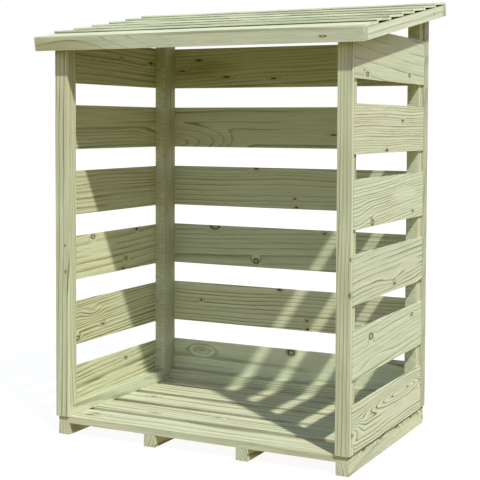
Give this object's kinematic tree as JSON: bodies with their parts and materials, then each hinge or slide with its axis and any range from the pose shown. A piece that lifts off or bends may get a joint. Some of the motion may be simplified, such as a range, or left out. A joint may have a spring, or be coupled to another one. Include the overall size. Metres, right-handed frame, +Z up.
{
  "type": "log store",
  "caption": "Open-fronted slatted timber log store with a raised board floor, spaced wall boards and a sloping lapped board roof.",
  "frame": {"origin": "middle of the footprint box, on the ground under the runners", "axes": "+X to the right seen from the open front, +Y to the back, +Z up"},
  "size_m": [1.109, 0.7712, 1.4103],
  "materials": {
    "runner_wood": "matt sawn softwood, pale green preservative",
    "floor_wood": "matt sawn softwood, pale green preservative",
    "roof_board_wood": "matt sawn softwood, pale green preservative",
    "roof_frame_wood": "matt sawn softwood, pale green preservative",
    "strip_wood": "matt sawn softwood, pale green preservative",
    "batten_wood": "matt sawn softwood, pale green preservative",
    "wall_board_wood": "matt sawn softwood, pale green preservative"
  },
  "bodies": {
    "root": {"back_boards": "wall_board_wood", "back_bottom_rail": "batten_wood", "back_fascia": "roof_frame_wood", "back_left_batten": "batten_wood", "back_right_batten": "batten_wood", "floor_board_1": "floor_wood", "floor_board_2": "floor_wood", "floor_board_3": "floor_wood", "floor_board_4": "floor_wood", "floor_board_5": "floor_wood", "front_fascia": "roof_frame_wood", "inner_left_runner": "runner_wood", "inner_right_runner": "runner_wood", "left_back_batten": "batten_wood", "left_back_strip": "strip_wood", "left_barge_board": "roof_frame_wood", "left_boards": "wall_board_wood", "left_bottom_rail": "batten_wood", "left_front_batten": "batten_wood", "left_front_strip": "strip_wood", "left_runner": "runner_wood", "right_back_batten": "batten_wood", "right_back_strip": "strip_wood", "right_barge_board": "roof_frame_wood", "right_boards": "wall_board_wood", "right_bottom_rail": "batten_wood", "right_front_batten": "batten_wood", "right_front_strip": "strip_wood", "right_runner": "runner_wood", "roof_board_1": "roof_board_wood", "roof_board_2": "roof_board_wood", "roof_board_3": "roof_board_wood", "roof_board_4": "roof_board_wood", "roof_board_5": "roof_board_wood", "roof_board_6": "roof_board_wood", "roof_board_7": "roof_board_wood"}
  },
  "joints": []
}
